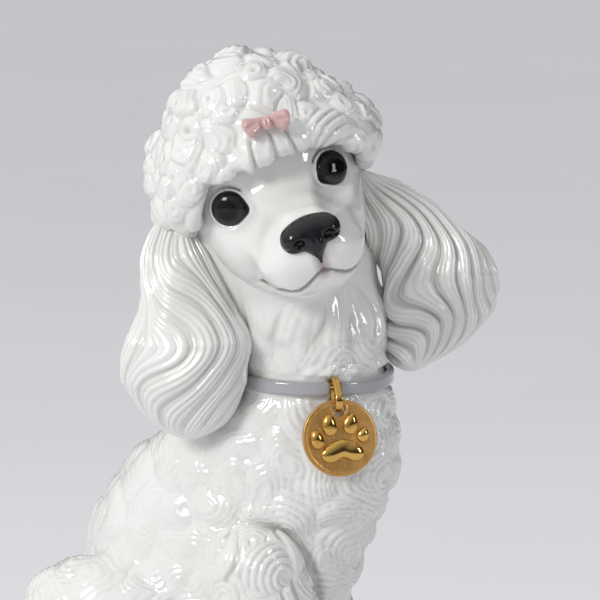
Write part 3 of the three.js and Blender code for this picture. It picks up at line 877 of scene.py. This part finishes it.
def eye_piece(name, side):
    """A lens-shaped dome with an almond outline, seated in its lids."""
    place = eye_place(side)
    columns, rings = 96, 28
    angle = np.arange(columns) * 2 * math.pi / columns
    inner = INNER_CORNER if side > 0 else math.pi - INNER_CORNER
    edge = almond(angle, inner)
    rise, rim_at, back_at, tip_at = 3.4, -0.3, 3.5, 4.5
    points = [(0.0, rim_at - rise, 0.0)]
    for i in range(1, rings + 1):
        share = i / rings
        lift = rim_at - rise * math.sqrt(max(0.0, 1 - share**2.2))
        points += [(share * e * math.cos(a), lift, share * e * math.sin(a)) for a, e in zip(angle, edge)]
    points += [(0.92 * e * math.cos(a), back_at, 0.92 * e * math.sin(a)) for a, e in zip(angle, edge)]
    points = place.outside(points + [(0.0, tip_at, 0.0)])
    quads, tris = [], []
    last = 1 + rings * columns
    for j in range(columns):
        k = (j + 1) % columns
        tris += [(1 + j, 0, 1 + k), (last + k, len(points) - 1, last + j)]
        for upper in range(1, last, columns):
            quads.append((upper + j, upper + k, upper + columns + k, upper + columns + j))
    local = place.inside(points)
    marks = {"across": local[:, 0], "up": local[:, 2]}
    marks["rim"] = np.hypot(local[:, 0], local[:, 2]) / almond(np.arctan2(local[:, 2], local[:, 0]), inner)
    return closed_piece(name, points, np.array(quads), np.array(tris), marks)


# ---------------------------------------------------------------- materials


class Nodes:
    """Builds one procedural material."""

    def __init__(self, name):
        self.material = bpy.data.materials.new(name)
        self.material.use_nodes = True
        self.tree = self.material.node_tree
        self.shader = self.tree.nodes["Principled BSDF"]

    def add(self, kind, **values):
        node = self.tree.nodes.new(kind)
        for key, value in values.items():
            setattr(node, key, value)
        return node

    def link(self, source, target):
        self.tree.links.new(source, target)

    def set(self, **values):
        for key, value in values.items():
            self.shader.inputs[key.replace("_", " ")].default_value = value
        return self

    def position(self):
        return self.add("ShaderNodeTexCoord").outputs["Object"]

    def noise(self, scale, detail=3.0, rough=0.55):
        node = self.add("ShaderNodeTexNoise")
        node.inputs["Scale"].default_value = scale
        node.inputs["Detail"].default_value = detail
        node.inputs["Roughness"].default_value = rough
        self.link(self.position(), node.inputs["Vector"])
        return node.outputs["Fac"]

    def ramp(self, source, stops):
        node = self.add("ShaderNodeValToRGB")
        while len(node.color_ramp.elements) < len(stops):
            node.color_ramp.elements.new(0.5)
        for element, (where, colour) in zip(node.color_ramp.elements, stops):
            element.position = where
            element.color = (*colour, 1)
        self.link(source, node.inputs["Fac"])
        return node.outputs["Color"]

    def spread(self, source, low, high, to_low, to_high):
        node = self.add("ShaderNodeMapRange")
        for key, value in (("From Min", low), ("From Max", high), ("To Min", to_low), ("To Max", to_high)):
            node.inputs[key].default_value = value
        self.link(source, node.inputs["Value"])
        return node.outputs["Result"]

    def attribute(self, name):
        node = self.add("ShaderNodeAttribute", attribute_name=name)
        return node.outputs["Fac"]

    def mix(self, share, a, b, blend="MIX"):
        node = self.add("ShaderNodeMix", data_type="RGBA", blend_type=blend)
        for socket, value in ((node.inputs[0], share), (node.inputs[6], a), (node.inputs[7], b)):
            if isinstance(value, (tuple, float)):
                socket.default_value = (*value, 1) if isinstance(value, tuple) else value
            else:
                self.link(value, socket)
        return node.outputs[2]

    def bump(self, source, strength, distance):
        node = self.add("ShaderNodeBump")
        node.inputs["Strength"].default_value = strength
        node.inputs["Distance"].default_value = distance
        self.link(source, node.inputs["Height"])
        self.link(node.outputs["Normal"], self.shader.inputs["Normal"])


GLAZE_LIGHT = (0.72, 0.722, 0.708)
GLAZE_WARM = (0.69, 0.69, 0.662)
# The dark tone painted into furrows of the white glaze as shade.
GLAZE_FURROW_SHADE = (0.33, 0.33, 0.30)


def glaze(name, shade_furrows=True):
    """White porcelain glaze: a little warm in patches, and darkened by painted shade in furrows, much more
    than the glaze's own pooling would darken it.
    """
    m = Nodes(name)
    tone = m.ramp(m.noise(28), [(0.35, GLAZE_LIGHT), (0.7, GLAZE_WARM)])
    if shade_furrows:
        # Painted shade: the glaze darkens toward the furrow shade tone wherever the relief marks a furrow.
        deep = m.spread(m.attribute("hollow"), 0.25, 1.0, 0.0, 0.75)
        tone = m.mix(deep, tone, GLAZE_FURROW_SHADE)
    m.link(tone, m.shader.inputs["Base Color"])
    m.link(m.spread(m.noise(60), 0.3, 0.7, 0.07, 0.12), m.shader.inputs["Roughness"])
    m.bump(m.noise(220, 2.0), 0.05, 0.0004)
    m.set(Coat_Weight=0.6, Coat_Roughness=0.03, Subsurface_Weight=0.05, Subsurface_Scale=0.0015)
    m.shader.inputs["Subsurface Radius"].default_value = (1.0, 0.95, 0.85)
    return m


def face_glaze():
    """The glaze of the face, with the muzzle's mauve shading under the nose and along the lips."""
    m = glaze("face glaze", shade_furrows=False)
    base = m.shader.inputs["Base Color"].links[0].from_socket
    shade = m.mix(m.attribute("philtrum"), base, (0.30, 0.235, 0.245))
    shade = m.mix(m.attribute("lips"), shade, (0.52, 0.40, 0.385))
    shade = m.mix(m.attribute("mouth"), shade, (0.16, 0.125, 0.12))
    m.link(shade, m.shader.inputs["Base Color"])
    return m.material


def enamel(name, low, high, rough, coat=0.6, specular=0.5):
    """A coloured glaze, a little uneven between two tones."""
    m = Nodes(name)
    m.link(m.ramp(m.noise(40), [(0.3, low), (0.7, high)]), m.shader.inputs["Base Color"])
    m.link(m.spread(m.noise(90), 0.3, 0.7, rough, rough * 1.6), m.shader.inputs["Roughness"])
    m.bump(m.noise(260, 2.0), 0.04, 0.0003)
    m.set(Coat_Weight=coat, Coat_Roughness=0.04, Specular_IOR_Level=specular)
    return m.material


def eye_glaze():
    """A painted eye: black pupil, charcoal iris lighter below, black rim."""
    m = Nodes("painted eye")
    across, up = m.attribute("across"), m.attribute("up")
    joined = m.add("ShaderNodeCombineXYZ")
    m.link(across, joined.inputs["X"])
    m.link(up, joined.inputs["Y"])
    length = m.add("ShaderNodeVectorMath", operation="LENGTH")
    m.link(joined.outputs["Vector"], length.inputs[0])
    out = m.spread(length.outputs["Value"], 0.0, 8.0, 0.0, 1.0)
    black, char, grey = (0.002, 0.002, 0.002), (0.011, 0.012, 0.013), (0.042, 0.042, 0.041)
    dark = (0.007, 0.008, 0.009)
    upper = m.ramp(out, [(0.0, black), (0.46, black), (0.54, char), (0.80, dark), (0.90, black)])
    lower = m.ramp(out, [(0.0, black), (0.46, black), (0.54, char), (0.74, grey), (0.90, black)])
    low_share = m.spread(up, 1.0, -5.0, 0.0, 1.0)
    iris = m.mix(low_share, upper, lower)
    rim = m.spread(m.attribute("rim"), 0.86, 0.93, 0.0, 1.0)
    noisy = m.mix(m.spread(m.noise(900, 2.0), 0.4, 0.7, 0.0, 0.25), iris, char)
    m.link(m.mix(rim, noisy, black), m.shader.inputs["Base Color"])
    m.set(Roughness=0.03, Coat_Weight=0.2, Coat_Roughness=0.02, Specular_IOR_Level=0.17)
    return m.material


def gilt(name, low, high, rough, grain=0.12):
    """Gold lustre, uneven between two tones, with a fine grain."""
    m = Nodes(name)
    m.link(m.ramp(m.noise(70), [(0.3, low), (0.7, high)]), m.shader.inputs["Base Color"])
    m.link(m.spread(m.noise(160), 0.3, 0.7, rough, rough * 1.5), m.shader.inputs["Roughness"])
    m.bump(m.noise(700, 3.0), grain, 0.0002)
    m.set(Metallic=1.0)
    return m.material


# ---------------------------------------------------------------- the pieces

BODY_CURLS = body_seeds()
TOPKNOT_CURLS = topknot_seeds()

WHITE = glaze("fur glaze").material
FACE = face_glaze()
EYES = eye_glaze()
NOSE = enamel("nose enamel", (0.005, 0.006, 0.007), (0.010, 0.011, 0.013), rough=0.05, coat=0.3,
              specular=0.22)
ROSE = enamel("rose enamel", (0.48, 0.29, 0.285), (0.57, 0.37, 0.36), rough=0.09)
GREY = enamel("grey enamel", (0.27, 0.275, 0.29), (0.33, 0.335, 0.35), rough=0.06)
GOLD = gilt("polished gilt", (0.56, 0.33, 0.085), (0.68, 0.42, 0.12), 0.07)
FIELD = gilt("satin gilt", (0.50, 0.27, 0.082), (0.64, 0.365, 0.125), 0.33, grain=0.9)


def porcelain(piece, node):
    """A white glazed piece of the figurine itself."""
    finish(piece, "figurine", WHITE, node)


def face_piece():
    """The bare face. The mouth, its corners and the line under the nose are cut in and marked for paint."""
    low, high = HEAD_BOX
    points, normals, quads = surface(face_with_lids, low, high, 0.55 * COARSE)
    q = HEAD.inside(points)
    flat = mirrored(q) * (1, 0, 1)
    front = smooth(-8, -14, q[:, 1])
    mouth = polyline(flat, [(x, 0, z) for x, z in MOUTH], 0.0)
    lip_height = np.interp(flat[:, 0], [x for x, _ in MOUTH], [z for _, z in MOUTH])
    below = smooth(0.0, 2.0, lip_height - q[:, 2])
    line = taper(flat, (0, 0, -20), (0, 0, -30.5), 0, 0)
    corner = size(flat - (21.3, 0, -29.6))
    cuts = ((mouth, 0.9, 1.2), (line, 0.7, 0.5), (corner, 2, 0.7))
    depth = sum(deep * np.exp(-((away / wide) ** 2)) for away, wide, deep in cuts)
    points += normals * (0.16 * ripple(q, 16, 31) - depth * front)[:, None]
    marks = {
        "mouth": smooth(0.9, 0.25, mouth) * front * 0.85,
        "lips": smooth(3.8, 1.0, mouth) * below * smooth(16, 11, flat[:, 0]) * front * 0.25,
        "philtrum": smooth(4.5, 0.4, line) * smooth(-30, -40, q[:, 1]) * 0.85,
    }
    return mesh_piece("face", points, marks, quads)


def box_around(place, reach, centre=(0, 0, 0)):
    """Corners, in the shared frame, of the box that holds a box of that reach in a turned frame."""
    reach, centre = np.asarray(reach, float), np.asarray(centre, float)
    corners = [place.outside(centre + reach * (i, j, k)) for i in (-1, 1) for j in (-1, 1) for k in (-1, 1)]
    return np.min(corners, 0), np.max(corners, 0)


HEAD_BOX = box_around(HEAD, (42, 56, 50), (0, 4, -2))
porcelain(sculpt("coat", body, (-80, -75, -3), (80, 105, 262), 0.85, body_relief), "body_shell")
finish(face_piece(), "figurine", FACE, "head_shell")

low, high = box_around(HEAD, (58, 52, 44), (0, 14, 20))
high[2] = min(high[2], 326)
topknot_locks = sculpt("topknot_curls", lambda p: topknot(HEAD.inside(p)), low, high, 0.62, topknot_relief)
porcelain(topknot_locks, "topknot")
for name, shape in EARS.items():
    porcelain(ear_piece(name, **shape), "ear_" + name)

low, high = box_around(HEAD, (16, 14, 16), (0, -44, -20))
leather = sculpt("nose_leather", lambda p: nose(HEAD.inside(p)), low, high, 0.3)
finish(leather, "figurine", NOSE, "nose")

for name, side in SIDES.items():
    finish(eye_piece("eye_" + name + "_glass", side), "figurine", EYES, "eye_" + name)
    low, high = box_around(BOW, (8, 7, 8), (side * 6, 0, 0))
    loop = sculpt("bow_" + name, bow_loop(side), low, high, 0.25)
    finish(loop, "figurine", ROSE, "bow_loop_" + name)
    x = FORELEGS[name][0][0][0]
    low, high = (x - 27, -74, 2), (x + 27, 14, 140)
    leg = sculpt("leg_" + name, lambda p: foreleg(p, name, 1.4), low, high, 0.75, leg_relief(name))
    porcelain(leg, "foreleg_" + name)
    x, y = FOREPAWS[name]
    low, high = (x - 18, y - 26, -2), (x + 18, y + 20, 20)
    porcelain(sculpt("toes_" + name, forepaw(name), low, high, 0.6), "forepaw_" + name)
    low, high = (side * 50 - 34, -26, -2), (side * 50 + 34, 88, 120)
    thigh = sculpt("thigh_" + name, lambda p: haunch(p, side, 1.0), low, high, 0.9, haunch_relief(side))
    porcelain(thigh, "haunch_" + name)
    low, high = (side * 54 - 18, -48, -2), (side * 54 + 18, 28, 26)
    porcelain(sculpt("hind_toes_" + name, hindpaw(side), low, high, 0.6), "hindpaw_" + name)

low, high = box_around(BOW, (6, 7, 6))
finish(sculpt("bow_middle", bow_knot, low, high, 0.25), "figurine", ROSE, "bow_knot")
porcelain(sculpt("tail_locks", tail, (-8, 48, -2), (44, 102, 36), 0.7, tail_relief), "tail")
low, high = (20, 70, -3), (66, 116, 40)
porcelain(sculpt("tail_pompom_curls", pompom, low, high, 0.6, pompom_curls().relief), "tail_pompom")

low, high = box_around(NECK, (36, 36, 5))
finish(sculpt("collar_band", collar, low, high, 0.4), "figurine", GREY, "collar")
low, high = box_around(BAIL, (4, 8, 10), (0, 0, -2.5))
finish(sculpt("bail_loop", bail, low, high, 0.16), "bail", GOLD, "bail")
low, high = box_around(TAG, (18, 4, 18), TAG_CENTRE)
finish(sculpt("tag_plate", tag_disc, low, high, 0.22), "tag", FIELD, "tag_disc")
for name in PRINT:
    finish(sculpt(name + "_dome", print_dome(name), low, high, 0.2), "tag", GOLD, name)

# ---------------------------------------------------------------- floor, light and camera


def studio():
    """A wide pale floor."""
    bpy.ops.mesh.primitive_plane_add(size=40)
    floor = bpy.context.object
    floor.name = "floor"
    m = Nodes("pale paper")
    tone = m.ramp(m.noise(2), [(0.3, (0.79, 0.795, 0.812)), (0.7, (0.815, 0.82, 0.837))])
    m.link(tone, m.shader.inputs["Base Color"])
    m.set(Roughness=0.9)
    floor.data.materials.append(m.material)


def softbox(name, at, aim, across, tall, power, colour=(1, 1, 1)):
    data = bpy.data.lights.new(name, "AREA")
    data.shape = "RECTANGLE"
    data.size, data.size_y = across, tall
    data.energy, data.color = power, colour
    lamp = bpy.data.objects.new(name, data)
    lamp.location = at
    lamp.rotation_euler = (Vector(aim) - Vector(at)).to_track_quat("-Z", "Y").to_euler()
    bpy.context.scene.collection.objects.link(lamp)


def sky(brightest):
    """Soft light from all round, brightest in one direction, before a plain pale grey backdrop."""
    world = bpy.data.worlds.new("studio sky")
    bpy.context.scene.world = world
    world.use_nodes = True
    tree = world.node_tree
    direction = tree.nodes.new("ShaderNodeTexCoord")
    toward = tree.nodes.new("ShaderNodeVectorMath")
    ramp = tree.nodes.new("ShaderNodeValToRGB")
    toward.operation = "DOT_PRODUCT"
    toward.inputs[1].default_value = brightest.normalized()
    tree.links.new(direction.outputs["Generated"], toward.inputs[0])
    tree.links.new(toward.outputs["Value"], ramp.inputs["Fac"])
    for element, (where, tone) in zip(ramp.color_ramp.elements, ((0.0, 0.06), (1.0, 1.0))):
        element.position, element.color = where, (tone, tone * 1.005, tone * 1.02, 1)
    light = tree.nodes["Background"]
    tree.links.new(ramp.outputs["Color"], light.inputs["Color"])
    light.inputs["Strength"].default_value = 1.13
    plain = tree.nodes.new("ShaderNodeBackground")
    rays = tree.nodes.new("ShaderNodeLightPath")
    join = tree.nodes.new("ShaderNodeMixShader")
    plain.inputs["Color"].default_value = (0.52, 0.525, 0.54, 1)
    tree.links.new(rays.outputs["Is Camera Ray"], join.inputs[0])
    tree.links.new(light.outputs[0], join.inputs[1])
    tree.links.new(plain.outputs[0], join.inputs[2])
    tree.links.new(join.outputs[0], tree.nodes["World Output"].inputs["Surface"])


CAMERA_AZIMUTH, CAMERA_ELEVATION, CAMERA_DISTANCE, CAMERA_LENS = -60, 8, 1.3, 195
SEEN_POINT = (0, -0.040, 0.187)  # the middle of the collar's height, on the neck's axis
RIGHTWARD, UPWARD = -0.0048, 0.030  # from that point to the middle of the view


def camera():
    a, e = math.radians(CAMERA_AZIMUTH), math.radians(CAMERA_ELEVATION)
    back = Vector((math.sin(a) * math.cos(e), -math.cos(a) * math.cos(e), math.sin(e)))
    right = Vector((math.cos(a), math.sin(a), 0))
    up = back.cross(right)
    middle = Vector(SEEN_POINT) + RIGHTWARD * right + UPWARD * up
    data = bpy.data.cameras.new("camera")
    data.lens, data.sensor_width = CAMERA_LENS, 36
    eye = bpy.data.objects.new("camera", data)
    eye.location = middle + CAMERA_DISTANCE * back
    eye.rotation_euler = (-back).to_track_quat("-Z", "Y").to_euler()
    bpy.context.scene.collection.objects.link(eye)
    bpy.context.scene.camera = eye
    return right, back


studio()
bpy.context.scene.view_settings.view_transform = "Standard"
right, back = camera()
sky(0.84 * Vector((0, 0, 1)) - 0.5 * right + 0.1 * back)
centre = Vector((0, 0, 0.2))
key_at = centre + back * 1.1 - right * 1.05 + Vector((0, 0, 0.66))
fill_at = centre + back * 0.7 + right * 1.25 + Vector((0, 0, 0.35))
softbox("key", key_at, centre, 0.46, 0.46, 14, (1, 0.99, 0.975))
softbox("fill", fill_at, centre, 0.22, 0.52, 3.8, (0.97, 0.985, 1))
